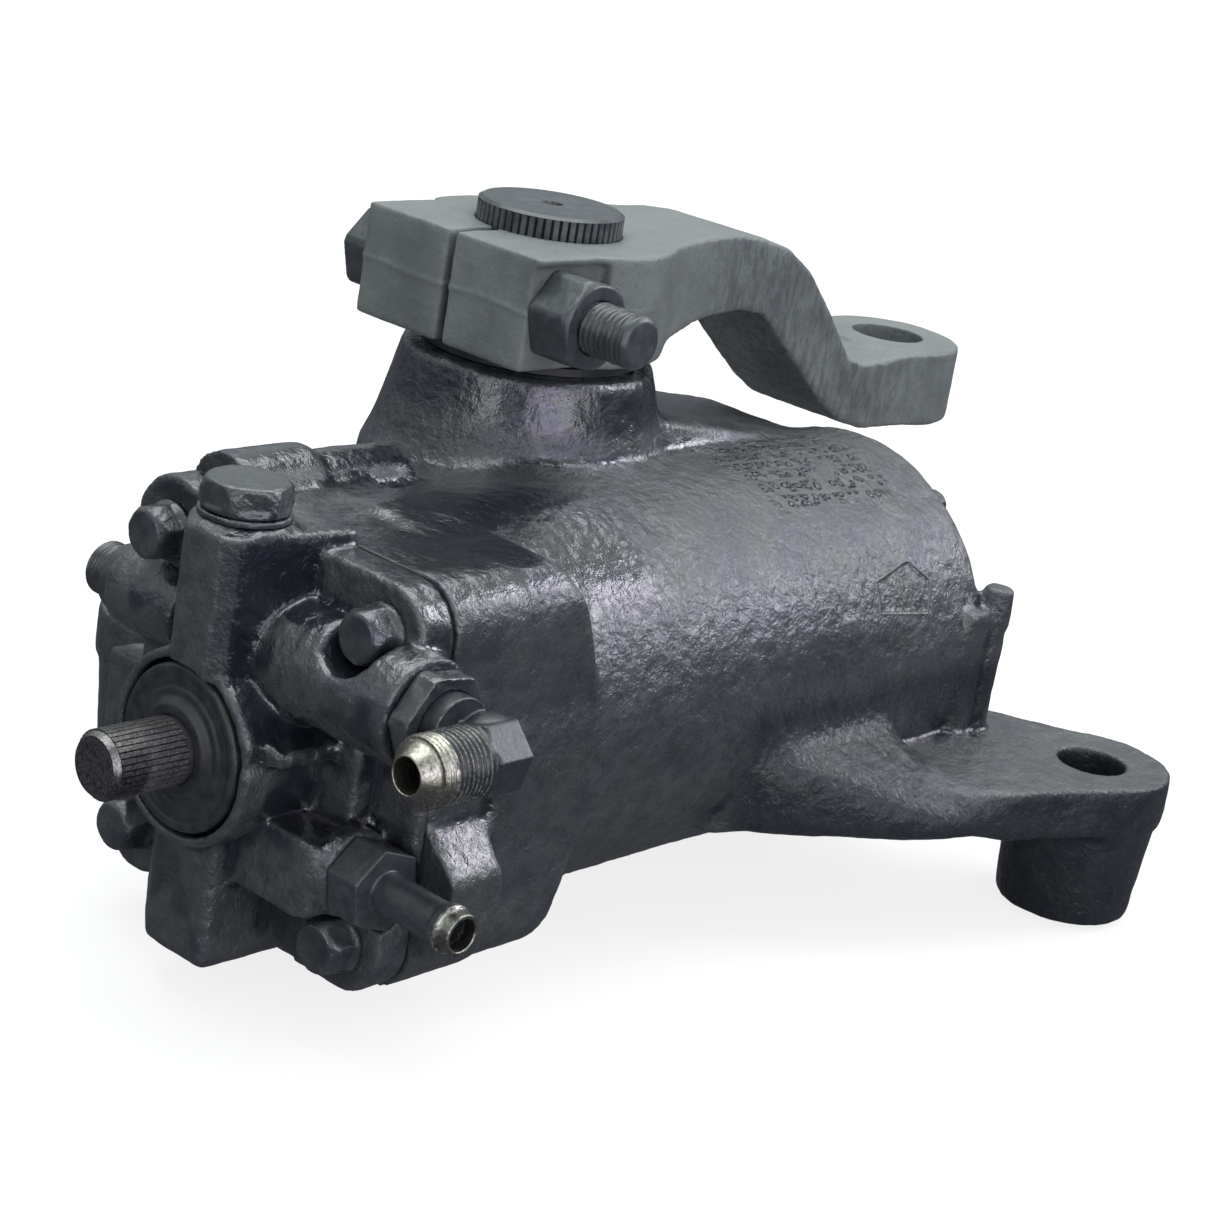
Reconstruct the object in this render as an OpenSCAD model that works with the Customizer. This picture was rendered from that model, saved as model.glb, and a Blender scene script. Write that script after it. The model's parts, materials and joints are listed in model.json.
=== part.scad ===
/* [Case] */
// Outer radius of the power cylinder casting
case_r = 61.5; // [60:0.5:64]
// Distance from the sector axis back to the rear face of the casting
rear_x = 121.3; // [119:0.5:126]
// Radius of the power cylinder bore
bore_r = 45; // [44.9:0.05:45.1]
// Radius of the sector tower where it meets the case
tower_r0 = 46.5; // [44:0.5:50]
// Radius of the sector tower under the arm
tower_r1 = 36.5; // [34:0.5:39]
// Height of the tower top above the worm axis
tower_z = 86; // [84:0.5:87]
// Offset of the sector axis from the worm axis
sector_y = 44.85; // [44.85:0.01:44.86]

/* [Valve housing] */
// Radius of the circular boss round the input seal
nose_r = 27; // [25.5:0.5:29]
// Height of the relief valve column above the worm axis
column_z = 62; // [58:0.5:64]
// Bolt spacing from the worm axis, across
bolt_y = 43; // [43:0.1:43.5]
// Bolt spacing from the worm axis, up and down
bolt_z = 43.5; // [43:0.1:43.5]

/* [Mounting lugs] */
// Radius of the mounting bolt holes
lug_hole_r = 11; // [9:0.5:12]
// Height of the lug's top face
lug_top = -21.75; // [-22:0.25:-20]
// Height of the foot under each mounting boss
lug_foot = -72; // [-76:1:-70]

/* [Input and worm] */
// Radius over the input serrations
input_r = 9.525; // [9.525:0.001:9.53]
// Number of input serrations
input_teeth = 36; // [24:1:40]
// Lead of the ball worm
lead = 9; // [9:0.01:9.01]
// Ball radius
ball_r = 2.25; // [2.2:0.01:2.25]
// Radius of the ball train about the worm axis
ball_pcr = 9.5; // [9.5:0.01:9.51]

/* [Rack and sector] */
// Pitch radius of the sector teeth
sector_pr = 23.65; // [23.65:0.01:23.66]
// Teeth in a full circle of the sector's pitch
sector_n = 10; // [10:1:10]
// Pressure angle of the rack
pa = 25; // [25:1:25]
// Height of the rack teeth above the pitch line
rack_add = 4.1; // [3.8:0.1:4.1]

/* [Pitman arm] */
// Radius over the sector shaft's serrations
shaft_r = 22.28; // [22.25:0.01:22.28]
// Top of the clamp
clamp_top = 124; // [123:0.5:124.5]
// Underside of the clamp
clamp_bot = 90; // [89.5:0.5:92]
// Distance from the sector axis to the arm's eye
arm_l = 186.3; // [178:0.1:190]
// Radius of the arm's eye hole
eye_r = 12.7; // [10:0.1:13.5]

/* [Hidden] */
shift_x = 175.9;     // from the sector axis station to the middle of the input serrations
$fn = 64;
black = [0.10, 0.11, 0.12];
steel = [0.62, 0.63, 0.65];
dark = [0.22, 0.23, 0.25];
rubber = [0.05, 0.05, 0.06];
brass = [0.70, 0.62, 0.36];
sy = sector_y;
joint_x = -123;      // joint face between the two castings
seat_x = -135;       // seats of the flange bolts
nose_x = -161;       // front face of the valve housing
port_x = -137;       // pressure port axis
port_z = 29;
ret_x = -136;        // return port axis
ret_z = -22.5;
far_x = -131;        // far port axis
far_z = 22;
plug_x = -148;       // relief valve column axis
pin_x = -123.6;      // valve sleeve drive pin
bolt_px = -27.6;     // pinch bolt axis
bolt_pz = 107;
module_mm = 2*sector_pr/sector_n;
pitch_p = PI*module_mm;
rack_y = sy - sector_pr;
eye_x = arm_l;
lugs = [[141.4, -97.6], [78, 131], [-52, 131]];

module xcyl(r, x0, x1, y = 0, z = 0, n = 64) translate([x0, y, z]) rotate([0, 90, 0]) cylinder(r = r, h = x1 - x0, $fn = n);
module xcone(r0, r1, x0, x1, y = 0, z = 0) translate([x0, y, z]) rotate([0, 90, 0]) cylinder(r1 = r0, r2 = r1, h = x1 - x0);
module ycyl(r, y0, y1, x = 0, z = 0, n = 64) translate([x, y0, z]) rotate([-90, 0, 0]) cylinder(r = r, h = y1 - y0, $fn = n);
module ycone(r0, r1, y0, y1, x = 0, z = 0) translate([x, y0, z]) rotate([-90, 0, 0]) cylinder(r1 = r0, r2 = r1, h = y1 - y0);
module zcyl(r, z0, z1, x = 0, y = 0, n = 64) translate([x, y, z0]) cylinder(r = r, h = z1 - z0, $fn = n);
module zcone(r0, r1, z0, z1, x = 0, y = 0) translate([x, y, z0]) cylinder(r1 = r0, r2 = r1, h = z1 - z0);
module xring(ro, ri, x0, x1, y = 0, z = 0) difference() { xcyl(ro, x0, x1, y, z); xcyl(ri, x0 - 1, x1 + 1, y, z); }
module zring(ro, ri, z0, z1, x = 0, y = 0) difference() { zcyl(ro, z0, z1, x, y); zcyl(ri, z0 - 1, z1 + 1, x, y); }
module box(x0, x1, y0, y1, z0, z1) translate([x0, y0, z0]) cube([x1 - x0, y1 - y0, z1 - z0]);
// Hexagon prisms by width across flats
module xhex(af, x0, x1, y = 0, z = 0, a = 0) translate([x0, y, z]) rotate([0, 90, 0]) rotate([0, 0, a]) cylinder(r = af/sqrt(3), h = x1 - x0, $fn = 6);
module yhex(af, y0, y1, x = 0, z = 0, a = 0) translate([x, y0, z]) rotate([-90, 0, 0]) rotate([0, 0, a]) cylinder(r = af/sqrt(3), h = y1 - y0, $fn = 6);
module zhex(af, z0, z1, x = 0, y = 0, a = 0) translate([x, y, z0]) rotate([0, 0, a]) cylinder(r = af/sqrt(3), h = z1 - z0, $fn = 6);
module bolt_spots() for (s = [-1, 1], t = [-1, 1]) translate([0, s*bolt_y, t*bolt_z]) children();
module round_plate(x0, x1, r, dy = 0) {
  box(x0, x1, -bolt_y - r, bolt_y + r + dy, -bolt_z, bolt_z);
  box(x0, x1, -bolt_y, bolt_y, -bolt_z - r, bolt_z + r);
  bolt_spots() xcyl(r, x0, x1);
}

// ---- castings ----
module lug_boss(p, h = 25.8) {
  zcyl(h, lug_top - 16.5, lug_top, p[0], p[1]);
  zcone(21.7, 24.4, lug_foot, lug_top - 16.4, p[0], p[1]);
}
module near_lug() {
  // flat at the boss, sloping up to the cylinder further forward
  intersection() {
    translate([0, 0, -60]) linear_extrude(80) polygon([[2, -50], [14, -66], [60, -95.5], [100, -107.4], [131, -121.3], [141.4, -98], [166, -90.4],
      [156, -72], [146, -52], [124, -36], [112, -10], [60, 0], [20, -20]]);
    union() {
      box(76, 176, -130, 0, lug_top - 16.5, lug_top);
      rotate([90, 0, 90]) linear_extrude(77) polygon([[-110, lug_top - 16.5], [-110, -34], [-40, 3], [0, 3], [0, lug_top - 16.5]]);
    }
  }
  lug_boss(lugs[0]);
  // rib that ties the lug to the rear face
  zcyl(4.9, lug_top - 8, 16, 126, -59.4);
  zcone(5.6, 5.1, 14, 27, 126, -59.4);
  box(110, 126, -62, -50, lug_top - 8, 20);
}
module far_lugs() {
  for (i = [1, 2]) lug_boss(lugs[i]);
  translate([0, 0, lug_top - 16.5]) linear_extrude(16.5) {
    polygon([[98, 20], [103, 131], [78, 131], [60, 150], [30, 92], [20, 60]]);
    polygon([[-20, 60], [-30, 92], [-40, 152], [-52, 131], [-77, 131], [-60, 30]]);
  }
  box(-60, 85, 70, 95, lug_top - 16.5, lug_top);
}
module main_housing() color(black) difference() {
  union() {
    xcone(case_r - 1.6, case_r, -100, rear_x - 3);
    xcone(case_r, case_r - 2.6, rear_x - 3, rear_x);
    intersection() {
      difference() {
        union() { round_plate(joint_x, -50, 14); box(joint_x, -50, 50, 64, -34, 2); bolt_spots() xcyl(15, joint_x, -96); }
        box(joint_x - 1, -40, 50, 80, 2.5, 12);
      }
      ycyl(119, -80, 80, -179, -5, 180);
    }
    // sector chamber, tower and the web that runs back from it
    zcyl(48, -54, 54, 0, sy);
    zcone(tower_r0, tower_r1 + 4.6, 54, tower_z - 11, 0, sy);
    zcone(tower_r1 + 4.6, tower_r1 + 2.2, tower_z - 11.05, tower_z, 0, sy);
    zcyl(49.5, 44, 53, 0, sy);
    translate([0, 62, 0]) rotate([90, 0, 0]) linear_extrude(54) polygon([[10, 30], [10, 73.5], [50, 67.5], [rear_x - 9, 56.5], [rear_x - 3, 50], [rear_x - 3, 20]]);
    box(-62, 30, 0, 60, 30, 53);
    // oil gallery from the joint face to the tower
    xcyl(13.2, joint_x, -94, 38, 53);
    xcyl(11, -94, -50, 38, 52.5);
    // pad on the near side of the front block
    translate([-128 + 5, 0, 0]) rotate([90, 0, 90]) linear_extrude(21) polygon([[-50, -8], [-58, -9], [-69, -19], [-70, -38], [-58, -45], [-50, -45]]);
    near_lug();
    far_lugs();
  }
  // power cylinder, open at both ends
  xcyl(bore_r, joint_x - 1, rear_x + 1);
  // sector chamber and trunnion bore
  zcyl(31, -40, 29, 0, sy);
  zcyl(26, 20, tower_z - 9, 0, sy);
  zcyl(30, tower_z - 9, tower_z + 5, 0, sy);
  zcyl(37, -60, -30, 0, sy);
  for (a = [0:60:300]) rotate_about(a) zcyl(4.05, -55, -46, 0, sy + 42.4);
  zcyl(48.3, -72, -54, 0, sy);
  // flange bolt holes, gallery bore, lug holes, rear cover bolt holes
  bolt_spots() xcyl(5.05, joint_x - 1, -92);
  xcyl(4, joint_x - 1, -58, 38, 53);
  for (p = lugs) { zcyl(lug_hole_r, lug_foot - 1, lug_top + 1, p[0], p[1]); zcyl(22.2, lug_top - 0.6, lug_top + 1, p[0], p[1]); }
  for (a = [30:60:330]) rotate([a, 0, 0]) xcyl(3.05, rear_x - 14, rear_x + 1, 0, cover_r);
  xcyl(56, rear_x, rear_x + 30);
}
module rotate_about(a) translate([0, sy, 0]) rotate([0, 0, a]) translate([0, -sy, 0]) children();

module valve_housing() color(black) difference() {
  union() {
   intersection() {
    box(-200, joint_x, -100, 100, -100, 100);
    union() {
    difference() {
      union() { round_plate(seat_x, joint_x, 14); for (s = [-1, 1]) translate([0, bolt_y, s*bolt_z]) xcyl(15.5, seat_x, joint_x); }
      // waist between the bolt ears
      box(seat_x - 1, -127, -70, -40, -26, 12);
      box(seat_x - 1, joint_x + 1, 50, 80, 2, 12);
    }
    box(seat_x, joint_x, 50, 63.5, -30, 2);
    xcyl(nose_r, nose_x, seat_x + 1);
    // relief valve column
    translate([0, 0, 8]) linear_extrude(column_z - 8) polygon([[-163.5, -9], [-163.5, 5], [-154, 14.5], [joint_x, 14.5], [joint_x, -17.5], [-130, -17.5], [-159, -13.5]]);
    zcyl(13.4, column_z - 6, column_z + 1.2, plug_x, 0);
    // lower column
    translate([0, 0, -62]) linear_extrude(50) polygon([[-155, -13], [-156, -11], [-156, 11], [-149, 20], [joint_x, 21], [joint_x, -13]]);
    // pressure port barrel
    ycyl(15.5, -64, 0, port_x, port_z);
    box(port_x, joint_x, -54, 0, port_z - 15, port_z + 14);
    // shelf beside the nose
    box(-154.5, seat_x + 2, -33, -8, 4.5, 10);
    // return port arm
    box(-149.5, joint_x, -43, 0, -35.5, -13.5);
    ycyl(12.4, -46.5, -40, ret_x, ret_z);
    // far port boss
    ycyl(12.4, 30, 60, far_x, far_z);
    }
   }
    // spigot in the power cylinder and bearing hub
    xcyl(bore_r - 0.05, joint_x - 1, -115);
    xcyl(28, -116, -99);
  }
  // seal recess, shaft hole and seal pocket
  xcyl(24.2, nose_x - 5, -156.5);
  xcyl(10.4, -160, -140);
  xcyl(15, -158, -150.6);
  xcyl(13, -151, -143.6);
  // valve bore, thrust bearing bore
  xcyl(17.04, -143.8, -120);
  xcyl(20, -121.5, -98);
  // ports and oilways
  ycyl(8.05, -70, -47, port_x, port_z);
  ycyl(5, -50, 0, port_x, port_z);
  ycyl(12.9, -80, -46.52, ret_x, ret_z);
  ycyl(8.05, -50, -32, ret_x, ret_z);
  ycyl(5, -33, 0, ret_x, ret_z);
  ycyl(7.05, 44, 70, far_x, far_z);
  ycyl(3.5, 0, 45, far_x, far_z);
  zcyl(8.05, 40, column_z + 5, plug_x, 0);
  zcyl(6.2, 26, 45, plug_x, 0);
  zcyl(3.5, 10, port_z, port_x, 0);
  zcyl(3.5, ret_z, -10, ret_x, 0);
  zcyl(3.5, 10, far_z, far_x, 6);
  // flange bolt holes, gallery mouth, o-ring groove
  bolt_spots() xcyl(5.05, seat_x - 1, joint_x + 1);
  bolt_spots() xcyl(9.3, seat_x - 20, seat_x);
  xcyl(4, -129, joint_x + 1, 38, 53);
  xring(46, 42.4, -121, -117.6);
}
module housing_joint_seal() color(rubber) xtorus(43.72, 1.25, -119.3);
module xtorus(R, r, x, y = 0, z = 0) translate([x, y, z]) rotate([0, 90, 0]) rotate_extrude($fn = 72) translate([R, 0]) circle(r = r, $fn = 24);
module ztorus(R, r, z, x = 0, y = 0) translate([x, y, z]) rotate_extrude($fn = 72) translate([R, 0]) circle(r = r, $fn = 24);

module valve_housing_bolts() color(dark) bolt_spots() {
  xcyl(5, seat_x - 0.1, -95);
  xcyl(8.6, seat_x - 1.6, seat_x - 0.02);
  intersection() { xhex(14.5, seat_x - 10, seat_x - 1.6, 0, 0, 12); xcone(6.4, 12.4, seat_x - 10, seat_x); }
}
module hex_plug() color(dark) {
  zcyl(8, 48, column_z + 4, plug_x, 0);
  zcyl(11.9, column_z + 3.05, column_z + 4.4, plug_x, 0);
  intersection() { zhex(22, column_z + 4.3, column_z + 11.3, plug_x, 0, 30); zcone(17, 9.5, column_z, column_z + 14, plug_x, 0); }
}
module plug_washer() color(brass) zring(12.6, 8.2, column_z + 1.25, column_z + 3, plug_x, 0);
module relief_spring() color(steel) difference() { zcyl(5.2, 31.6, 47.9, plug_x, 0); zcyl(3.6, 30, 49, plug_x, 0); for (z = [34.2:3.4:46]) zring(6, 4.3, z, z + 1.6, plug_x, 0); }
module relief_ball() color(steel) translate([plug_x, 0, 29.2]) sphere(r = 2.9, $fn = 32);

// ---- fittings ----
cover_r = 49.8;
el_y = -82.5;
el_z = port_z - 5.5;
module pressure_elbow() color(dark) difference() {
  union() {
    ycyl(8, -64.2, -49, port_x, port_z);
    ycyl(9.5, -76, -64.05, port_x, port_z);
    // forged bend, its wrench flats and the flare end
    xhex(18, -138.4, -126.8, el_y, el_z + 1.2, 15);
    translate([-131.6, el_y + 1.4, el_z + 2.2]) sphere(r = 9.6, $fn = 48);
    xcyl(9.1, -147.6, -138, el_y, el_z + 1.2);
    xcyl(input_r, -156.6, -147.5, el_y, el_z + 1.2);
    xcone(5.15, 8.3, -161, -156.6, el_y, el_z + 1.2);
  }
  xcyl(4.7, -162, -134, el_y, el_z + 1.2);
  ycyl(4.2, -74, -48, port_x, port_z);
  ycyl(3, -81, -73, port_x + 1.5, port_z - 3);
}
module elbow_locknut() color(dark) difference() {
  intersection() { yhex(25.5, -71, -64.05, port_x, port_z, 8); ycyl(14.1, -72, -60, port_x, port_z); }
  ycyl(9.55, -73, -60, port_x, port_z);
}
module return_fitting() color(steel) difference() {
  union() {
    ycyl(8, -46.6, -34, ret_x, ret_z);
    yhex(21, -58, -46.55, ret_x, ret_z, 20);
    ycyl(5.75, -86.5, -57, ret_x, ret_z);
    ycyl(6.7, -82.6, -79.6, ret_x, ret_z);
  }
  ycyl(4.5, -88, -33, ret_x, ret_z);
}
module side_port_fitting() color(dark) difference() {
  union() {
    ycyl(7, 46, 61, far_x, far_z);
    ycyl(10.2, 60.05, 64.5, far_x, far_z);
    ycyl(8, 64, 73, far_x, far_z);
  }
  ycyl(4, 45, 80, far_x, far_z);
}

// ---- input, valve and worm ----
module serrated(r, h, n, depth, share) difference() {
  cylinder(r = r, h = h);
  for (i = [0:n - 1]) rotate([0, 0, 360*i/n]) translate([r - depth, 0, -1]) linear_extrude(h + 2)
    polygon([[0, 0], [depth + 0.2, -PI*r*share/n - 0.05], [depth + 0.2, PI*r*share/n + 0.05]]);
}
module input_shaft() color(steel) difference() {
  union() {
    translate([-186.7, 0, 0]) rotate([0, 90, 0]) serrated(input_r, 21.6, input_teeth, 0.75, 0.22);
    xcone(8, 9.2, -188.4, -186.6);
    xcyl(9.2, -165.2, -143.4);
    xcyl(10.97, -143.4, -127);
  }
  xcyl(4.45, -170, -124);
  for (a = [0:60:300]) rotate([a, 0, 0]) box(-141, -128, 10.2, 12, -1.4, 1.4);
}
module dust_seal() color(rubber) difference() {
  union() {
    xcyl(22.9, -161, -157);
    xcyl(22.2, -161.6, -160.9);
    xcone(12.2, 14.4, -163.6, -161.5);
  }
  xcyl(9.22, -165, -156);
  xring(20.4, 16.4, -162, -161.1);
}
module input_oil_seal() color(rubber) xring(14.98, 9.25, -156.3, -150.7);
module input_bearing() color(steel) { xring(12.98, 11.6, -150.5, -143.8); for (i = [0:15]) rotate([360*i/16, 0, 0]) xcyl(1.15, -149.8, -144.4, 10.4, 0, 16); }
module torsion_bar() color(steel) { xcyl(3, -158.5, -119); xcyl(4.4, -168, -158); xcyl(4.38, -120, -112.5); }
module drive_pin() color(steel) zcyl(1.48, 5.6, 16.6, pin_x, 0);
ring_x = [-142.4, -137, -131.6, -127.2];
module valve_sleeve() color(steel) difference() {
  xring(17, 11.03, -143.4, -121.6);
  for (x = ring_x) xring(18, 15.6, x, x + 1.8);
  for (x = [-138.8, -133.4, -128.5], a = [0:60:300]) rotate([a, 0, 0]) translate([x, 0, 0]) cylinder(r = 1.1, h = 20);
  zcyl(1.5, 0, 20, pin_x, 0);
}
module sleeve_rings() color([0.8, 0.8, 0.75]) for (x = ring_x) xring(17.02, 15.65, x + 0.05, x + 1.75);

// A ball groove's section across the worm axis: axial offset turns into angle through the lead
function groove(psi, gr) = let (a = lead*psi/360) abs(a) < gr ? sqrt(gr*gr - a*a) : 0;
module screw_bar(len, r_out, gr, n = 18) linear_extrude(height = len, twist = -360*len/lead, slices = ceil(10*len/lead))
  polygon([for (i = [0:n - 1]) let (p = -180 + 360*i/n, g = groove(p, gr), r = g > 0 ? min(r_out, ball_pcr - g) : r_out) [r*cos(p), r*sin(p)]]);
module worm_shaft() color(steel) difference() {
  union() {
    xcyl(10.9, -126.4, -116);
    xcyl(15.5, -116.6, -110.6);
    xcyl(9.1, -111, -31);
    translate([-32, 0, 0]) rotate([0, 90, 0]) rotate([0, 0, 360*(-32)/lead]) screw_bar(64, 9, ball_r + 0.5);
    xcyl(6.4, 31, 34.5);
  }
  xcyl(4.4, -128, -112);
  zcyl(1.5, 5.5, 20, pin_x, 0);
}
module bearing_rollers(x) {
  xring(19.9, 11.2, x, x + 1.2);
  xring(19.9, 11.2, x + 3.6, x + 4.8);
  for (i = [0:11]) rotate([30*i, 0, 0]) translate([x + 2.4, 0, 15.4]) sphere(r = 1.15, $fn = 20);
}
module thrust_bearing_front() color(steel) bearing_rollers(-121.45);
module thrust_bearing_rear() color(steel) bearing_rollers(-110.55);
module bearing_retainer() color(steel) difference() { xring(19.95, 11, -105.7, -99.4); for (a = [0, 90]) rotate([a, 0, 0]) box(-101.5, -99, -25, 25, -2, 2); }

// ---- piston, rack and balls ----
rack_w = pitch_p/2 - 0.1;
module rack_tooth(c) translate([c, rack_y, 0]) linear_extrude(38, center = true)
  polygon([[-rack_w/2 - 6*tan(pa), -6], [-rack_w/2 + rack_add*tan(pa), rack_add], [rack_w/2 - rack_add*tan(pa), rack_add], [rack_w/2 + 6*tan(pa), -6]]);
module rack_piston() color(steel) difference() {
  union() {
    difference() {
      xcyl(bore_r - 0.07, -76, 84);
      box(-48.5, 48.5, rack_y - 5.2, 60, -60, 60);
    }
    for (k = [-1.5, -0.5, 0.5, 1.5]) rack_tooth(k*pitch_p);
  }
  xcyl(13.42, -77, 14);
  xcyl(11, 13, 85);
  xcyl(34, 66, 85);
  xring(50, 42, -70, -66);
  // window for the ball return guide
  box(-11, 11, -50, -9, -6, 6);
}
module ball_nut() color(steel) difference() {
  xcyl(13.4, -13, 13);
  xcyl(ball_pcr + ball_r + 0.1, -14, 14);
  box(-9, 9, -20, -11, -3.4, 3.4);
}
module nut_retaining_ring() color(steel) xring(13.4, 10.2, -17, -13.05);
module ball_train() color(steel) for (k = [-11:1:11]) let (a = k*35) rotate([a, 0, 0]) translate([lead*a/360, 0, -ball_pcr]) sphere(r = ball_r, $fn = 24);
module ball_return_guide() color(steel) difference() {
  union() { box(-10.4, 10.4, -19, -13.6, -5.6, 5.6); }
  box(-6.5, 6.5, -17, -13, -2.3, 2.3);
  for (s = [-1, 1]) ycyl(1.2, -20, -13, 8.5*s, 3.9*s, 24);
}
module guide_screws() color(dark) for (s = [-1, 1]) { ycyl(1.8, -20.6, -19.02, 8.5*s, 3.9*s, 24); ycyl(1.15, -19.1, -13.7, 8.5*s, 3.9*s, 24); }
module piston_ring() color(dark) xring(bore_r - 0.03, 42.1, -69.9, -66.1);
module piston_end_plug() color(steel) difference() { xcyl(10.95, 54.6, 65.5); xhex(8, 60, 66); }

// ---- sector ----
// Half-angle a sector tooth may fill at radius r so that it stays clear of the rack as both roll
function tooth_half(r) = min([for (f = [-60:1:60]) let (
    c = pitch_p/2 - (pitch_p/2 + 0.12)/2 + sector_pr*f*PI/180,
    s = (c + sector_pr*tan(pa))*cos(pa)/r,
    th = abs(s) <= 1 ? asin(s) - pa : 0,
    ad = rack_add + 0.15,
    flank = abs(s) <= 1 && sector_pr - r*cos(th) <= ad ? th - f : 999,
    q = (sector_pr - ad)/r,
    crest = q < 1 && -r*sqrt(1 - q*q) >= c + ad*tan(pa) ? -acos(q) - f : 999) min(flank, crest)]);
tip_r = sector_pr + 4.3;
root_r = sector_pr - rack_add - 0.8;
radii = [for (i = [0:9]) 19.7 + (tip_r - 19.7)*i/9];
half = [for (r = radii) tooth_half(r)];
module sector_tooth(a) rotate([0, 0, a - 90]) linear_extrude(40, center = true) polygon(concat(
  [[root_r - 3, -(root_r - 3)*tan(half[0])*0.9]],
  [for (i = [0:9]) radii[i]*[cos(half[i]), -sin(half[i])]],
  [for (i = [9:-1:0]) radii[i]*[cos(half[i]), sin(half[i])]],
  [[root_r - 3, (root_r - 3)*tan(half[0])*0.9]]));
module sector_shaft() color(dark) translate([0, sy, 0]) difference() {
  union() {
    zcyl(root_r, -29, 29.5);
    for (a = [-36, 0, 36]) sector_tooth(a);
    zcyl(15.5, -53, -28);
    zcyl(shaft_r, 29, 94);
    translate([0, 0, 93]) serrated(shaft_r, 37, 56, 1.1, 0.4);
    zcone(shaft_r - 0.3, shaft_r - 1.3, 129.9, 130.8);
  }
  zring(30, 19.1, 97, 117);
  zcone(0.5, 3.4, 122, 131);
  zcyl(7, -54, -46);
}
module upper_bearing() color(steel) translate([0, sy, 0]) {
  zring(25.95, 24.6, 34, 74);
  for (i = [0:23]) rotate([0, 0, 15*i]) zcyl(1.1, 36, 72, 23.44, 0, 16);
}
module lower_bearing() color(steel) translate([0, sy, 0]) zring(18.45, 15.55, -52, -32);
module sector_oil_seal() color(rubber) translate([0, sy, 0]) zring(29.95, 22.33, tower_z - 8.9, tower_z - 1.5);
module sector_dust_seal() color(rubber) translate([0, sy, 0]) difference() {
  union() { zcyl(33, tower_z + 0.05, tower_z + 2.4); zcone(31.5, 27.5, tower_z + 2.3, tower_z + 3.7); zcyl(29.5, tower_z - 1.4, tower_z + 1); }
  zcyl(22.33, tower_z - 5, tower_z + 5);
}
module side_cover() color(black) translate([0, sy, 0]) difference() {
  union() { zcyl(48, -65, -55.05); zcyl(36.9, -56, -46); zcyl(20.6, -47, -31); zcone(17, 22, -72, -64.5); }
  zcyl(18.5, -53.5, -30);
  zcyl(5.05, -80, -50);
  for (a = [0:60:300]) rotate([0, 0, a]) zcyl(4.05, -70, -50, 0, 42.4);
}
module side_cover_gasket() color([0.35, 0.3, 0.22]) translate([0, sy, 0]) difference() { zcyl(47.8, -55, -54.05); zcyl(37.2, -57, -53); for (a = [0:60:300]) rotate([0, 0, a]) zcyl(4.3, -57, -53, 0, 42.4); }
module side_cover_bolts() color(dark) translate([0, sy, 0]) for (a = [0:60:300]) rotate([0, 0, a]) {
  zcyl(4, -65.2, -46.4, 0, 42.4);
  zhex(13, -71.4, -65.05, 0, 42.4, 8);
}
module adjusting_screw() color(steel) translate([0, sy, 0]) difference() { union() { zcyl(6.8, -51, -46.8); zcyl(5, -86, -50.5); } box(-6, 6, -1, 1, -87, -84); }
module adjuster_locknut() color(dark) translate([0, sy, 0]) difference() { intersection() { zhex(17, -79.5, -72.05); zcone(8.2, 11.5, -79.5, -72); } zcyl(5.05, -85, -70); }
module rear_cover() color(black) difference() {
  union() { xcyl(54.6, rear_x + 0.05, rear_x + 6); xcyl(bore_r - 0.05, rear_x - 12, rear_x + 1); xcone(30, 26, rear_x + 5.9, rear_x + 8.5); }
  xcyl(36, rear_x - 13, rear_x - 3);
  xring(46, 42.4, rear_x - 8, rear_x - 4.6);
  for (a = [30:60:330]) rotate([a, 0, 0]) xcyl(3.05, rear_x - 1, rear_x + 9, 0, cover_r);
}
module rear_cover_seal() color(rubber) xtorus(43.72, 1.25, rear_x - 6.3);
module rear_cover_bolts() color(dark) for (a = [30:60:330]) rotate([a, 0, 0]) translate([0, 0, cover_r]) {
  xcyl(3, rear_x - 12, rear_x + 6.2);
  intersection() { xhex(10, rear_x + 6.05, rear_x + 10.4, 0, 0, 5*a); xcone(7.4, 4.6, rear_x + 5.5, rear_x + 10.4); }
}

// ---- drop arm ----
module pitman_arm() color([0.27, 0.29, 0.30]) difference() {
  union() {
    // forged bar, side view cut by the plan view
    intersection() {
      translate([0, 100, 0]) rotate([90, 0, 0]) linear_extrude(110) polygon([[-5, clamp_top], [66, clamp_top], [79, 122.6], [94, 118.6], [108.2, 110.2], [123.6, 95],
        [138, 79], [146, 76.4], [156, 77.2], [166, 78.9], [220, 78.9], [220, 53.3], [151, 53], [139, 56.2], [127, 63.4], [86.8, 96.4], [76, 98.6], [57, 98.5], [35, 95], [10, clamp_bot], [-5, clamp_bot]]);
      translate([0, 0, 40]) linear_extrude(100) union() {
        polygon([[-5, sy - 38], [14, sy - 36], [30, sy - 29], [48, sy - 23.5], [71, sy - 20.5], [140, sy - 20.5], [eye_x, sy - 26],
          [eye_x, sy + 26], [140, sy + 20.5], [71, sy + 20.5], [48, sy + 23.5], [30, sy + 29], [14, sy + 36], [-5, sy + 38]]);
        translate([eye_x, sy]) circle(r = 26);
      }
    }
    zcyl(40, clamp_bot, clamp_top, 0, sy);
    box(-41, 0, sy - 36, sy + 36, clamp_bot, clamp_top);
    // machined pads of the eye
    zcyl(24.6, 52.2, 79.5, eye_x, sy);
  }
  zcyl(shaft_r + 0.05, clamp_bot - 1, clamp_top + 1, 0, sy);
  box(-42, -10, sy - 1.4, sy + 1.4, clamp_bot - 1, clamp_top + 1);
  ycyl(8.1, -20, 120, bolt_px, bolt_pz);
  // seats for the nut and the bolt head
  box(-45, -12, -10, sy - 34, clamp_bot - 1, clamp_top - 2.4);
  box(-45, -12, sy + 36, sy + 60, clamp_bot - 1, clamp_top + 1);
  zcyl(eye_r, 40, 90, eye_x, sy);
}
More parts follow.
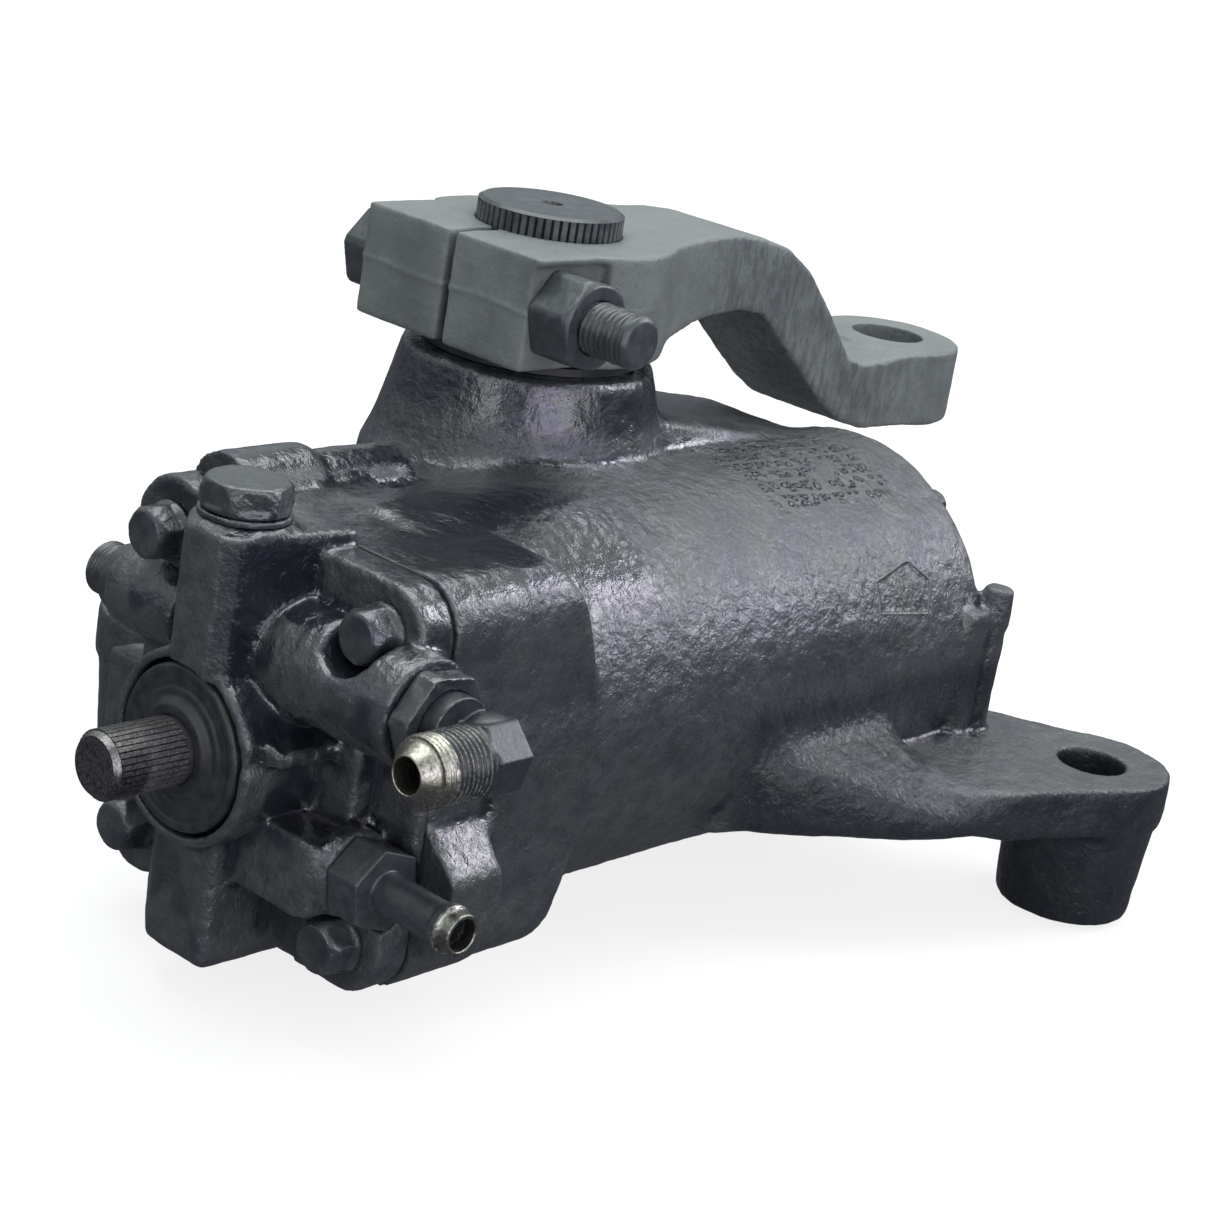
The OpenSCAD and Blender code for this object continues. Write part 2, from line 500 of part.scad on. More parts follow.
module pinch_bolt() color(dark) difference() {
  union() {
    ycyl(8, -20.8, sy + 36.5, bolt_px, bolt_pz);
    ycone(6.6, 8, -22, -20.7, bolt_px, bolt_pz);
    intersection() { yhex(24, sy + 36.05, sy + 45, bolt_px, bolt_pz, 15); ycyl(13.2, sy + 36, sy + 60, bolt_px, bolt_pz); }
  }
}
module pinch_nut() color(dark) difference() {
  intersection() { yhex(25, -4.5, sy - 34.05, bolt_px, bolt_pz, 12); ycone(12, 27, -4.6, 10.9, bolt_px, bolt_pz); ycyl(13.9, -10, 30, bolt_px, bolt_pz); }
  ycyl(8.02, -10, 30, bolt_px, bolt_pz);
}

module placed() translate([shift_x, 0, 0]) children();

placed() main_housing();
placed() valve_housing();
placed() housing_joint_seal();
placed() valve_housing_bolts();
placed() hex_plug();
placed() plug_washer();
placed() relief_spring();
placed() relief_ball();
placed() pressure_elbow();
placed() elbow_locknut();
placed() return_fitting();
placed() side_port_fitting();
placed() dust_seal();
placed() input_oil_seal();
placed() input_bearing();
placed() input_shaft();
placed() torsion_bar();
placed() drive_pin();
placed() valve_sleeve();
placed() sleeve_rings();
placed() worm_shaft();
placed() thrust_bearing_front();
placed() thrust_bearing_rear();
placed() bearing_retainer();
placed() rack_piston();
placed() ball_nut();
placed() nut_retaining_ring();
placed() ball_train();
placed() ball_return_guide();
placed() guide_screws();
placed() piston_ring();
placed() piston_end_plug();
placed() sector_shaft();
placed() upper_bearing();
placed() lower_bearing();
placed() sector_oil_seal();
placed() sector_dust_seal();
placed() side_cover();
placed() side_cover_gasket();
placed() side_cover_bolts();
placed() adjusting_screw();
placed() adjuster_locknut();
placed() rear_cover();
placed() rear_cover_seal();
placed() rear_cover_bolts();
placed() pitman_arm();
placed() pinch_bolt();
placed() pinch_nut();
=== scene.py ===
import bpy, json, math
import numpy as np
from mathutils import Matrix, Vector


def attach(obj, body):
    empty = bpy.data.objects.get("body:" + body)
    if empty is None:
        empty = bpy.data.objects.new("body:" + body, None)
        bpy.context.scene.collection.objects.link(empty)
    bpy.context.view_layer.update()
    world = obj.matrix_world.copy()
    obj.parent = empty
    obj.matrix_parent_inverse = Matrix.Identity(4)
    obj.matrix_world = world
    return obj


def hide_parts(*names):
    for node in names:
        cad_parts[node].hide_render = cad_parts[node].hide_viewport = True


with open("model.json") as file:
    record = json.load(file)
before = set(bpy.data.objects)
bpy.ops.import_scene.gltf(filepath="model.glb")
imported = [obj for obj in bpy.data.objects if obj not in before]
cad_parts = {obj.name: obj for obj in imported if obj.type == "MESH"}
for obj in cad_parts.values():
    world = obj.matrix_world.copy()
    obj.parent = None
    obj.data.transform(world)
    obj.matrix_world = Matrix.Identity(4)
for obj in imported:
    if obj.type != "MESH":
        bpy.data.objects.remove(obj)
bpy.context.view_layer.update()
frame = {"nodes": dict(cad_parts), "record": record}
NODES = frame["nodes"]
BODY = {n: b for b, ns in frame["record"]["behaviour"]["bodies"].items() for n in ns}
SLOT = {s["node"]: s["material_slot"] for s in frame["record"]["subparts"]}
SY = 44.85          # sector axis, mm
SHX = 175.9         # shapes below are laid out from the sector axis station; the frame starts at the input serrations

# ------------------------------------------------------------------ noise
_rng = np.random.default_rng(11)
_perm = _rng.permutation(256)
_grad = _rng.normal(size=(256, 3))
_grad /= np.linalg.norm(_grad, axis=1)[:, None]


def perlin(p):
    """Gradient noise at points p (n,3), about -0.7 to 0.7."""
    i = np.floor(p).astype(np.int64)
    f = p - i
    u = f * f * f * (f * (f * 6 - 15) + 10)
    out = np.zeros(len(p))
    for dx in (0, 1):
        wx = u[:, 0] if dx else 1 - u[:, 0]
        for dy in (0, 1):
            wy = u[:, 1] if dy else 1 - u[:, 1]
            for dz in (0, 1):
                wz = u[:, 2] if dz else 1 - u[:, 2]
                h = _perm[(_perm[(_perm[(i[:, 0] + dx) & 255] + i[:, 1] + dy) & 255] + i[:, 2] + dz) & 255]
                g = _grad[h]
                out += wx * wy * wz * (g[:, 0] * (f[:, 0] - dx) + g[:, 1] * (f[:, 1] - dy) + g[:, 2] * (f[:, 2] - dz))
    return out


def fbm(p, size, octaves=2, seed=0.0):
    """Noise with features of about size mm."""
    t = np.zeros(len(p))
    for k in range(octaves):
        t += perlin(p * (2 ** k) / size + 17.3 * k + seed) / (2 ** k)
    return t


def smooth01(x, a, b):
    t = np.clip((x - a) / (b - a), 0, 1)
    return t * t * (3 - 2 * t)


# ------------------------------------------------------------------ mesh helpers
def mesh_object(name, verts, faces):
    me = bpy.data.meshes.new(name)
    me.from_pydata([tuple(v) for v in verts], [], faces)
    me.update()
    ob = bpy.data.objects.new(name, me)
    bpy.context.scene.collection.objects.link(ob)
    return ob


def evaluated(ob):
    dg = bpy.context.evaluated_depsgraph_get()
    dg.update()
    return bpy.data.meshes.new_from_object(ob.evaluated_get(dg), depsgraph=dg)


def co_of(me):
    a = np.zeros(len(me.vertices) * 3, np.float32)
    me.vertices.foreach_get("co", a)
    return a.reshape(-1, 3).astype(float) * 1000 - np.array([SHX, 0, 0])


def nor_of(me):
    a = np.zeros(len(me.vertices) * 3, np.float32)
    me.vertex_normals.foreach_get("vector", a)
    return a.reshape(-1, 3).astype(float)


def set_co(me, mm):
    me.vertices.foreach_set("co", ((mm + np.array([SHX, 0, 0])) / 1000).astype(np.float32).ravel())
    me.update()


def solid_parts(items):
    """Closed primitives as one vertex/face list: ('cyl', axis, r0, r1, a0, a1, c1, c2) or ('prism', axis, a0, a1, points), mm."""
    V, F = [], []
    for it in items:
        if it[0] == "cyl":
            _, ax, r0, r1, a0, a1, c1, c2 = it
            n = 40
            ring = [[(c1 + r * math.cos(2 * math.pi * k / n), c2 + r * math.sin(2 * math.pi * k / n)) for k in range(n)] for r in (r0, r1)]
        else:
            _, ax, a0, a1, pts = it
            n = len(pts)
            ring = [pts, pts]
        base = len(V)
        for a, rg in zip((a0, a1), ring):
            for p, q in rg:
                V.append({"x": (a, p, q), "y": (q, a, p), "z": (p, q, a)}[ax])
        F.append([base + k for k in range(n)][::-1])
        F.append([base + n + k for k in range(n)])
        for k in range(n):
            F.append([base + k, base + (k + 1) % n, base + n + (k + 1) % n, base + n + k])
    return V, F


def sculpt(name, node, voxel, smooth=8, keep=None, fn=None, extra=None, factor=0.5, body=None, hide=True, melt=None, melt_n=60, attrs=None):
    """A new piece from a CAD node: remeshed, softened as a casting or thick paint would be, then shaped by fn(points, normals) in mm.
    keep(points) is 0..1 where the unsoftened surface stays."""
    src = NODES[node]
    me = src.data.copy()
    ob = bpy.data.objects.new(name, me)
    bpy.context.scene.collection.objects.link(ob)
    if extra:
        V, F = solid_parts(extra)
        base = len(me.vertices)
        all_v = [tuple(v.co) for v in me.vertices] + [((v[0] + SHX) / 1000, v[1] / 1000, v[2] / 1000) for v in V]
        all_f = [tuple(p.vertices) for p in me.polygons] + [tuple(base + i for i in f) for f in F]
        me2 = bpy.data.meshes.new(name)
        me2.from_pydata(all_v, [], all_f)
        me2.update()
        ob.data = me2
    m = ob.modifiers.new("remesh", "REMESH")
    m.mode = "VOXEL"
    m.voxel_size = voxel / 1000
    m.adaptivity = 0
    m.use_smooth_shade = True
    hard = evaluated(ob)
    ob.modifiers.clear()
    ob.data = hard
    p0 = co_of(hard)
    if smooth:
        s = ob.modifiers.new("smooth", "SMOOTH")
        s.factor = factor
        s.iterations = smooth
        soft = evaluated(ob)
        ob.modifiers.clear()
        p1 = co_of(soft)
        if keep is not None:
            k = keep(p0)[:, None]
            p1 = p0 * k + p1 * (1 - k)
        set_co(hard, p1)
    if melt is not None:
        p0 = co_of(hard)
        s = ob.modifiers.new("melt", "SMOOTH")
        s.factor = 0.6
        s.iterations = melt_n
        soft = evaluated(ob)
        ob.modifiers.clear()
        k = melt(p0)[:, None]
        set_co(hard, p0 * (1 - k) + co_of(soft) * k)
    if fn:
        p = co_of(hard)
        n = nor_of(hard)
        set_co(hard, fn(p, n))
    if attrs:
        p0, n0 = co_of(hard), nor_of(hard)
        s = ob.modifiers.new("cavity", "SMOOTH")
        s.factor = 0.6
        s.iterations = 36
        cav = np.einsum("ij,ij->i", co_of(evaluated(ob)) - p0, n0)
        ob.modifiers.clear()
        for an, af in attrs.items():
            at = hard.attributes.new(an, "FLOAT", "POINT")
            val = np.clip(af(p0, n0), 0, 1)
            if an == "gloss":
                # hollows get more gloss and ridges less: painted shade in the hollows, painted grey sheen on the ridges
                val = np.maximum(val, smooth01(cav, 0.05, 0.45)) * (1 - 0.6 * smooth01(-cav, 0.12, 0.6))
            at.data.foreach_set("value", val.astype(np.float32))
    for poly in (hard,):
        poly.polygons.foreach_set("use_smooth", np.ones(len(poly.polygons), bool))
    hard.materials.clear()
    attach(ob, body or BODY[node])
    if hide:
        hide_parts(node)
    return ob


def thread_cut(p, axis, c, r, pitch, depth, a0, a1, hand=1, phase=0.0, fade=1.2):
    """Moves points on a cylinder's wall inward along a helix. axis 0,1,2; c is the axis position in the other two coordinates."""
    o = [i for i in range(3) if i != axis]
    u, v, a = p[:, o[0]] - c[0], p[:, o[1]] - c[1], p[:, axis]
    rr = np.hypot(u, v)
    ang = np.arctan2(v, u) / (2 * math.pi)
    ph = (a / pitch - hand * ang + phase) % 1.0
    tri = 1 - np.abs(2 * ph - 1)
    cut = depth * np.clip(tri * 1.25 - 0.12, 0, 1)
    m = np.clip((a - a0) / fade, 0, 1) * np.clip((a1 - a) / fade, 0, 1) * (np.abs(rr - r) < max(0.7, depth))
    k = 1 - (cut * m) / np.maximum(rr, 1e-6)
    q = p.copy()
    q[:, o[0]] = c[0] + u * k
    q[:, o[1]] = c[1] + v * k
    return q


# ------------------------------------------------------------------ materials
class Nt:
    """Small helper for building a node tree."""

    def __init__(self, name):
        self.m = bpy.data.materials.new(name)
        self.m.use_nodes = True
        self.t = self.m.node_tree
        self.t.nodes.clear()
        self.out = self.t.nodes.new("ShaderNodeOutputMaterial")
        self.bs = self.t.nodes.new("ShaderNodeBsdfPrincipled")
        self.t.links.new(self.bs.outputs[0], self.out.inputs[0])
        obj = self.t.nodes.new("ShaderNodeTexCoord").outputs["Object"]
        shift = self.t.nodes.new("ShaderNodeMapping")
        shift.inputs["Location"].default_value = (-SHX / 1000, 0, 0)
        self.t.links.new(obj, shift.inputs["Vector"])
        self.tc = shift.outputs[0]
        self.geo = self.t.nodes.new("ShaderNodeNewGeometry")

    def put(self, sock, v):
        if hasattr(v, "links"):
            self.t.links.new(v, sock)
        else:
            sock.default_value = v

    def node(self, kind, props=None, **ins):
        n = self.t.nodes.new(kind)
        for k, v in (props or {}).items():
            setattr(n, k, v)
        for k, v in ins.items():
            key = int(k[1:]) if k[0] == "i" and k[1:].isdigit() else k.replace("_", " ")
            self.put(n.inputs[key], v)
        return n

    def mapping(self, scale=(1, 1, 1), rot=(0, 0, 0), loc=(0, 0, 0)):
        return self.node("ShaderNodeMapping", None, i0=self.tc, i1=loc, i2=rot, i3=scale).outputs[0]

    def noise(self, size_mm, detail=2.0, rough=0.5, vec=None, distort=0.0, seed=0.0):
        n = self.node("ShaderNodeTexNoise", {"noise_dimensions": "3D"})
        off = self.node("ShaderNodeVectorMath", {"operation": "ADD"}, i0=vec if vec is not None else self.tc, i1=(seed * 0.731, seed * 0.317, seed * 0.531))
        self.put(n.inputs["Vector"], off.outputs[0])
        n.inputs["Scale"].default_value = 1000.0 / size_mm
        n.inputs["Detail"].default_value = detail
        n.inputs["Roughness"].default_value = rough
        n.inputs["Distortion"].default_value = distort
        return n.outputs[0]

    def voronoi(self, size_mm, vec=None, feature="SMOOTH_F1", smooth=0.6):
        n = self.node("ShaderNodeTexVoronoi", {"feature": feature})
        self.put(n.inputs["Vector"], vec if vec is not None else self.tc)
        n.inputs["Scale"].default_value = 1000.0 / size_mm
        if feature == "SMOOTH_F1":
            n.inputs["Smoothness"].default_value = smooth
        return n.outputs[0]

    def ramp(self, fac, stops):
        n = self.node("ShaderNodeValToRGB", None, i0=fac)
        el = n.color_ramp.elements
        while len(el) > 1:
            el.remove(el[-1])
        for i, (pos, col) in enumerate(stops):
            e = el[0] if i == 0 else el.new(pos)
            e.position = pos
            c = (col, col, col) if not hasattr(col, "__len__") else col
            e.color = (c[0], c[1], c[2], 1)
        return n.outputs[0]

    def math(self, op, a, b=0.0, c=0.0, clamp=False):
        n = self.node("ShaderNodeMath", {"operation": op, "use_clamp": clamp})
        self.put(n.inputs[0], a); self.put(n.inputs[1], b); self.put(n.inputs[2], c)
        return n.outputs[0]

    def mix(self, fac, a, b, mode="MIX"):
        n = self.node("ShaderNodeMix", {"data_type": "RGBA", "blend_type": mode})
        self.put(n.inputs[0], fac)
        for s, v in ((n.inputs[6], a), (n.inputs[7], b)):
            if not hasattr(v, "links") and len(v) == 3:
                v = (*v, 1)
            self.put(s, v)
        return n.outputs[2]

    def bump(self, height, dist_mm, strength=1.0, normal=None):
        n = self.node("ShaderNodeBump")
        self.put(n.inputs["Strength"], strength)
        n.inputs["Distance"].default_value = dist_mm / 1000
        self.put(n.inputs["Height"], height)
        if normal is not None:
            self.put(n.inputs["Normal"], normal)
        return n.outputs[0]

    def xyz(self, which):
        s = self.node("ShaderNodeSeparateXYZ", None, i0=self.tc)
        return s.outputs[which]

    def set(self, **kw):
        for k, v in kw.items():
            key = k.replace("_", " ")
            if not hasattr(v, "links") and hasattr(v, "__len__") and len(v) == 3 and "Color" in key or key in ("Specular Tint", "Coat Tint"):
                v = (*v, 1) if not hasattr(v, "links") and len(v) == 3 else v
            self.put(self.bs.inputs[key], v)
        return self.m


PENT = np.array([(68.3, -51.3, 33.0), (86.1, -48.7, 36.7), (93.8, -52.5, 31.0), (90.1, -56.8, 22.3), (67.4, -55.6, 25.1)])


def pent_lines():
    """The five sides of the flat pad on the cylinder as (nx, narc, c), in metres on the unrolled surface; the sum is positive inside."""
    c = np.stack([PENT[:, 0], 61.0 * np.arctan2(PENT[:, 2], -PENT[:, 1])], 1) / 1000
    m = c.mean(0)
    out = []
    for i in range(5):
        a, b = c[i], c[(i + 1) % 5]
        e = (b - a) / np.linalg.norm(b - a)
        nn = np.array([-e[1], e[0]])
        if nn @ (m - a) < 0:
            nn = -nn
        out.append((float(nn[0]), float(nn[1]), float(-nn @ a)))
    return out


def enamel(name, grain=1.0, base=(0.0045, 0.006, 0.0095), rough=0.17, marks=False):
    """Gloss black enamel brushed thickly over a sand casting. The gloss attribute runs from 0, a dry grey skin, to 1,
    wet black; the grey of the dry skin is a painted sheen, made stronger on faces that turn up.
    """
    t = Nt(name)
    gl = t.node("ShaderNodeAttribute", {"attribute_name": "gloss"}).outputs["Fac"]
    dry = t.math("SUBTRACT", 1.0, gl, clamp=True)
    # painted_shade attribute: 0 to 1, darkens and dulls the paint as painted shade
    painted_shade = t.node("ShaderNodeAttribute", {"attribute_name": "painted_shade"}).outputs["Fac"]
    unshaded = t.math("SUBTRACT", 1.0, t.math("MULTIPLY", painted_shade, 0.6), clamp=True)
    big = t.noise(30, 3, 0.55, seed=1)
    mid = t.noise(6.5, 3, 0.6, seed=2)
    pit = t.noise(2.6, 4, 0.68, seed=5, distort=0.4)
    pebble = t.voronoi(3.1, feature="F1")
    fine = t.noise(0.9, 2, 0.6, seed=3)
    runs = t.noise(9, 2, 0.5, vec=t.mapping((1, 1, 0.22)), seed=4)
    crest = t.math("ABSOLUTE", t.math("SUBTRACT", t.noise(4.2, 3, 0.6, seed=6, distort=1.2), 0.5))
    height = t.math("ADD", t.math("MULTIPLY", pebble, 0.4), t.math("ADD", t.math("MULTIPLY", pit, 0.9), t.math("MULTIPLY", fine, 0.22)))
    height = t.math("ADD", height, t.math("MULTIPLY", crest, 0.8))
    nrm = t.bump(height, 0.55 * grain, t.math("ADD", 0.42, t.math("MULTIPLY", dry, 0.58)))
    nrm = t.bump(mid, 1.0 * grain, t.math("ADD", 0.45, t.math("MULTIPLY", dry, 0.3)), nrm)
    nrm = t.bump(runs, 1.1, 0.4, nrm)
    sep = t.node("ShaderNodeSeparateXYZ", None, i0=t.geo.outputs["Normal"])
    up = sep.outputs[2]
    crumb_flank_shade = None
    if marks:
        X, Y, Z = t.xyz(0), t.xyz(1), t.xyz(2)
        arc = t.math("MULTIPLY", t.math("ARCTAN2", Z, t.math("MULTIPLY", Y, -1.0)), 0.061)
        d = None
        for na, nb, nc in pent_lines():
            e = t.math("ADD", t.math("ADD", t.math("MULTIPLY", X, na), t.math("MULTIPLY", arc, nb)), nc)
            d = e if d is None else t.math("MINIMUM", d, e)
        d = t.math("ADD", t.math("MULTIPLY", d, 1000.0), t.math("MULTIPLY", t.math("SUBTRACT", fine, 0.5), 0.8))
        front = t.math("LESS_THAN", Y, -0.02)
        inside = t.math("MULTIPLY", t.ramp(t.math("MULTIPLY", t.math("ADD", d, 1.0), 0.5, clamp=True), [(0.42, 0.0), (0.58, 1.0)]), front)
        rim = t.math("MULTIPLY", t.ramp(t.math("MULTIPLY", t.math("ADD", d, 2.0), 0.25, clamp=True), [(0.2, 0.0), (0.36, 1.0), (0.5, 0.0)]), front)
        calm = t.math("SUBTRACT", 1.0, t.math("MULTIPLY", inside, 0.85))
        # rows of torn skin on top of the cylinder
        row = t.math("ABSOLUTE", t.math("SUBTRACT", t.math("FRACT", t.math("ADD", t.math("MULTIPLY", Y, 170.0), t.math("MULTIPLY", X, 14.0))), 0.5))
        zone = t.math("MULTIPLY", t.ramp(t.math("MULTIPLY", X, 5.0), [(0.18, 0.0), (0.24, 1.0), (0.46, 1.0), (0.52, 0.0)]),
                      t.ramp(t.math("MULTIPLY", t.math("ADD", Y, 0.05), 15.0), [(0.25, 0.0), (0.36, 1.0), (0.74, 1.0), (0.84, 0.0)]))
        zone = t.math("MULTIPLY", zone, t.math("GREATER_THAN", Z, 0.045))
        crumb = t.ramp(t.voronoi(2.8, feature="F1"), [(0.28, 1.0), (0.52, 0.0)])
        torn = t.math("MULTIPLY", t.math("MULTIPLY", crumb, zone), t.ramp(row, [(0.10, 0.0), (0.22, 1.0)]))
        torn = t.math("MULTIPLY", torn, t.ramp(t.noise(11, 2, 0.5, seed=44), [(0.34, 0.0), (0.44, 1.0)]))
        nrm = t.bump(t.math("SUBTRACT", t.math("MULTIPLY", rim, 0.6), inside), 0.45, 1.0, nrm)
        nrm = t.bump(torn, 1.7, 1.0, nrm)
        # painted shade on the flanks of the torn-skin crumbs
        crumb_flank_shade = t.math("MULTIPLY", t.math("MULTIPLY", t.ramp(torn, [(0.12, 0.0), (0.3, 1.0)]), t.ramp(torn, [(0.45, 1.0), (0.75, 0.0)])), 0.85)
    # dry grey skin: painted sheen, lighter on up-facing faces; it also roughens the paint
    dry_skin_and_sheen = t.math("MULTIPLY", t.ramp(t.math("ADD", t.math("MULTIPLY", up, 0.5), 0.5), [(0.1, 0.62), (0.55, 0.75), (0.95, 1.0)]), t.ramp(mid, [(0.34, 0.6), (0.62, 1.0)]))
    dry_skin_and_sheen = t.math("MULTIPLY", t.math("MULTIPLY", dry_skin_and_sheen, dry), unshaded)
    col = t.mix(t.ramp(big, [(0.38, 0.0), (0.66, 1.0)]), base, (base[0] * 1.9, base[1] * 1.8, base[2] * 1.7))
    col = t.mix(t.math("MULTIPLY", dry_skin_and_sheen, 0.9), col, (0.060, 0.064, 0.064))
    if crumb_flank_shade is not None:
        # crumb flanks darkened: painted shade
        col = t.mix(crumb_flank_shade, col, (0.004, 0.005, 0.006))
        col = t.mix(t.math("MULTIPLY", inside, 0.85), col, (0.020, 0.023, 0.024))
        # light rim round the five-sided pad: painted highlight
        col = t.mix(t.math("MULTIPLY", rim, 0.6), col, (0.16, 0.165, 0.165))
    speck = t.ramp(t.noise(1.3, 3, 0.75, seed=9), [(0.64, 0.0), (0.72, 1.0)])
    col = t.mix(t.math("MULTIPLY", t.math("MULTIPLY", speck, dry), 0.35), col, (0.15, 0.16, 0.17))
    r = t.math("ADD", t.math("MULTIPLY", t.ramp(pit, [(0.35, 0.0), (0.65, 1.0)]), 0.10), rough - 0.05)
    r = t.math("ADD", r, t.math("MULTIPLY", dry_skin_and_sheen, 0.3), clamp=True)
    tint = t.mix(t.ramp(t.noise(16, 2, 0.5, seed=12), [(0.42, 0.0), (0.58, 1.0)]), (1.0, 1.0, 1.0), (0.87, 0.83, 1.0))
    return t.set(Base_Color=col, Roughness=r, Normal=nrm, Specular_IOR_Level=t.math("MULTIPLY", unshaded, 0.75), Specular_Tint=tint,
                 Coat_Weight=t.math("MULTIPLY", t.math("ADD", 0.2, t.math("MULTIPLY", gl, 0.6)), unshaded), Coat_Roughness=0.1, Coat_Normal=nrm)


def satin_forging(name):
    """Satin grey-black paint over a hammered forging, with draw streaks on the neck; faces that turn up are painted
    lighter as a sheen.
    """
    t = Nt(name)
    big = t.noise(22, 3, 0.55, seed=5)
    mid = t.noise(4.5, 3, 0.6, seed=6)
    streak = t.noise(2.2, 4, 0.68, vec=t.mapping((0.9, 1.0, 0.22), rot=(0, 0.55, 0)), distort=0.5, seed=7)
    fine = t.noise(0.8, 2, 0.6, seed=8)
    pit = t.noise(1.9, 3, 0.7, seed=10)
    x = t.xyz(0)
    neck = t.ramp(t.math("MULTIPLY", x, 5.0), [(0.22, 0.0), (0.34, 1.0), (0.74, 1.0), (0.90, 0.35)])
    up = t.node("ShaderNodeSeparateXYZ", None, i0=t.geo.outputs["Normal"]).outputs[2]
    side = t.math("SUBTRACT", 1.0, t.ramp(up, [(0.35, 0.0), (0.8, 1.0)]))
    sm = t.math("MULTIPLY", neck, side)
    col = t.mix(t.ramp(big, [(0.35, 0.0), (0.68, 1.0)]), (0.090, 0.099, 0.100), (0.135, 0.147, 0.145))
    # up-facing faces lighter: painted sheen
    col = t.mix(t.math("MULTIPLY", t.ramp(up, [(0.7, 0.0), (0.97, 1.0)]), 0.5), col, (0.19, 0.205, 0.2))
    dark = t.ramp(streak, [(0.44, 0.0), (0.58, 1.0)])
    col = t.mix(t.math("MULTIPLY", t.math("MULTIPLY", dark, sm), 0.5), col, (0.035, 0.042, 0.047))
    spot = t.ramp(t.noise(1.7, 3, 0.7, seed=9), [(0.60, 0.0), (0.70, 1.0)])
    col = t.mix(t.math("MULTIPLY", spot, 0.32), col, (0.04, 0.043, 0.046))
    nrm = t.bump(mid, 0.8, 0.5)
    nrm = t.bump(pit, 0.4, 0.6, nrm)
    nrm = t.bump(fine, 0.08, 0.6, nrm)
    nrm = t.bump(t.math("MULTIPLY", streak, sm), 0.9, 0.5, nrm)
    r = t.math("ADD", 0.36, t.math("MULTIPLY", mid, 0.2))
    return t.set(Base_Color=col, Roughness=r, Normal=nrm, Specular_IOR_Level=0.5)


def painted_steel(name, base=(0.022, 0.024, 0.027), rough=0.3, chip=(0.09, 0.088, 0.082), amount=0.25):
    """Painted fastener: enamel with worn corners."""
    t = Nt(name)
    mid = t.noise(3.5, 3, 0.6, seed=10)
    fine = t.noise(0.7, 2, 0.6, seed=11)
    pt = t.ramp(t.geo.outputs["Pointiness"], [(0.53, 0.0), (0.6, 1.0)])
    wear = t.math("MULTIPLY", pt, t.ramp(mid, [(0.42, 0.0), (0.6, 1.0)]))
    col = t.mix(t.ramp(mid, [(0.35, 0.0), (0.7, 1.0)]), base, (base[0] * 1.7, base[1] * 1.7, base[2] * 1.7))
    col = t.mix(t.math("MULTIPLY", wear, amount), col, chip)
    nrm = t.bump(mid, 0.35, 0.55)
    nrm = t.bump(fine, 0.06, 0.6, nrm)
    r = t.math("ADD", rough - 0.05, t.math("MULTIPLY", mid, 0.18))
    return t.set(Base_Color=col, Roughness=r, Normal=nrm, Specular_IOR_Level=0.6, Coat_Weight=0.2, Coat_Roughness=0.2)


def steel(name, dark=(0.16, 0.155, 0.15), light=(0.48, 0.47, 0.45), rough=0.32, axis=None, metal=1.0, stain=(0.05, 0.045, 0.04), stains=0.3):
    """Turned or ground steel: fine lay round the axis, stains."""
    t = Nt(name)
    sc = {None: (1, 1, 1), "x": (6, 0.5, 0.5), "y": (0.5, 6, 0.5), "z": (0.5, 0.5, 6)}[axis]
    lay = t.noise(1.1, 3, 0.65, vec=t.mapping(sc), seed=12)
    mid = t.noise(5, 3, 0.6, seed=13)
    fine = t.noise(0.6, 2, 0.6, seed=14)
    col = t.mix(t.ramp(lay, [(0.3, 0.0), (0.7, 1.0)]), dark, light)
    col = t.mix(t.math("MULTIPLY", t.ramp(mid, [(0.5, 0.0), (0.68, 1.0)]), stains), col, stain)
    nrm = t.bump(lay, 0.05, 0.6)
    nrm = t.bump(fine, 0.03, 0.5, nrm)
    r = t.math("ADD", rough - 0.08, t.math("MULTIPLY", mid, 0.28))
    return t.set(Base_Color=col, Roughness=r, Metallic=metal, Normal=nrm)


def rubber(name):
    t = Nt(name)
    mid = t.noise(4, 3, 0.6, seed=15)
    fine = t.noise(0.35, 2, 0.6, seed=16)
    col = t.mix(t.ramp(mid, [(0.35, 0.0), (0.7, 1.0)]), (0.012, 0.013, 0.015), (0.026, 0.028, 0.031))
    nrm = t.bump(fine, 0.03, 0.7)
    nrm = t.bump(mid, 0.2, 0.3, nrm)
    r = t.math("ADD", 0.34, t.math("MULTIPLY", mid, 0.16))
    return t.set(Base_Color=col, Roughness=r, Normal=nrm, Specular_IOR_Level=0.5)


def plastic(name, a, b, rough=0.4):
    t = Nt(name)
    mid = t.noise(6, 3, 0.6, seed=17)
    fine = t.noise(0.5, 2, 0.6, seed=18)
    col = t.mix(t.ramp(mid, [(0.35, 0.0), (0.7, 1.0)]), a, b)
    return t.set(Base_Color=col, Roughness=t.math("ADD", rough, t.math("MULTIPLY", mid, 0.15)), Normal=t.bump(fine, 0.04, 0.6))


